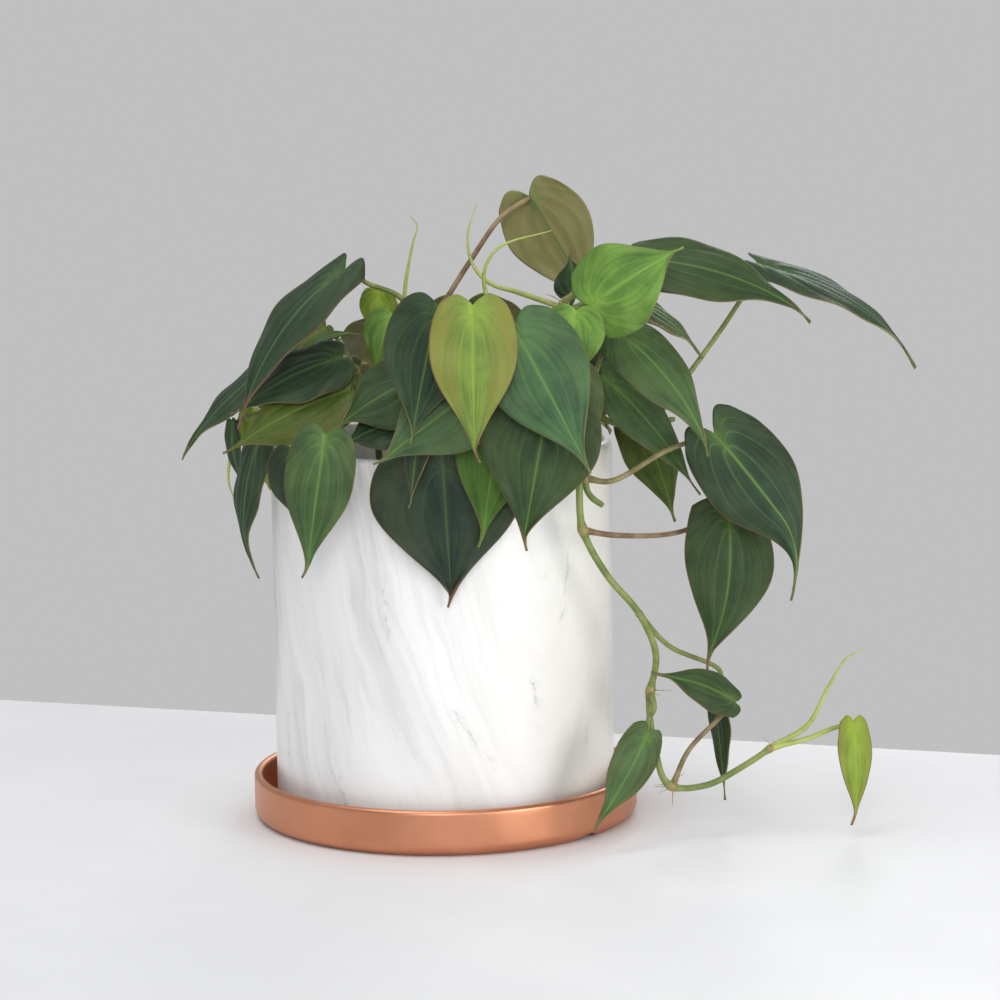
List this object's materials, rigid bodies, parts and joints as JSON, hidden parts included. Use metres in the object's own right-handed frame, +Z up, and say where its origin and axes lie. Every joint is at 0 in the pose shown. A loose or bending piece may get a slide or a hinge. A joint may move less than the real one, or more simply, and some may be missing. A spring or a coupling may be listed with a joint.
{
  "type": "potted philodendron",
  "caption": "Velvet-leaf philodendron with heart-shaped leaves on trailing vines, in a straight marbled pot standing in a shallow copper-coloured saucer.",
  "frame": {"origin": "middle of the saucer's flat underside, on the surface it stands on", "axes": "+Z up, -Y the front of the plant, +X the side its longest vine trails over"},
  "size_m": [0.3201, 0.2023, 0.2805],
  "materials": {
    "velvet_leaf": "matt velvety dark green leaf, bronze underneath",
    "bright_leaf": "velvety mid-green leaf, paler underneath",
    "young_leaf": "soft lime to olive young leaf",
    "stem": "smooth green stem, browner at the nodes and petioles",
    "marbled_glaze": "white satin glaze with soft grey marbling",
    "copper_glaze": "satin copper-coloured metallic glaze",
    "potting_soil": "damp dark potting mix with a few pale grains"
  },
  "bodies": {
    "root": {"saucer": "copper_glaze", "pot": "marbled_glaze", "soil": "potting_soil", "trailing_vine": "stem", "trailing_leaf_1": "velvet_leaf", "trailing_leaf_2": "velvet_leaf", "trailing_leaf_3": "velvet_leaf", "trailing_leaf_4": "bright_leaf", "trailing_leaf_5": "young_leaf", "cut_vine": "stem", "cut_leaf_1": "velvet_leaf", "cut_leaf_2": "velvet_leaf", "right_vine": "stem", "right_leaf_1": "velvet_leaf", "right_leaf_2": "velvet_leaf", "right_leaf_3": "velvet_leaf", "right_leaf_4": "velvet_leaf", "right_leaf_5": "velvet_leaf", "crown_vine": "stem", "crown_leaf_1": "bright_leaf", "crown_leaf_2": "bright_leaf", "crown_leaf_3": "velvet_leaf", "crown_leaf_4": "velvet_leaf", "crown_leaf_5": "velvet_leaf", "rear_vine": "stem", "rear_leaf_1": "velvet_leaf", "rear_leaf_2": "velvet_leaf", "rear_leaf_3": "velvet_leaf", "rear_leaf_4": "velvet_leaf", "rear_leaf_5": "velvet_leaf", "upright_vine": "stem", "upright_leaf_1": "velvet_leaf", "upright_leaf_2": "velvet_leaf", "upright_leaf_3": "young_leaf", "upright_leaf_4": "bright_leaf", "upright_leaf_5": "velvet_leaf", "left_vine": "stem", "left_leaf_1": "velvet_leaf", "left_leaf_2": "velvet_leaf", "left_leaf_3": "young_leaf", "left_leaf_4": "bright_leaf", "left_leaf_5": "young_leaf", "outer_left_vine": "stem", "outer_left_leaf_1": "velvet_leaf", "outer_left_leaf_2": "velvet_leaf", "outer_left_leaf_3": "young_leaf", "outer_left_leaf_4": "young_leaf", "outer_left_leaf_5": "bright_leaf", "outer_left_leaf_6": "velvet_leaf", "front_vine": "stem", "front_leaf_1": "velvet_leaf", "front_leaf_2": "young_leaf", "front_leaf_3": "velvet_leaf", "front_leaf_4": "velvet_leaf", "front_leaf_5": "velvet_leaf", "front_leaf_6": "velvet_leaf", "front_right_vine": "stem", "front_right_leaf_1": "velvet_leaf", "front_right_leaf_2": "bright_leaf", "front_right_leaf_3": "velvet_leaf"}
  },
  "joints": []
}
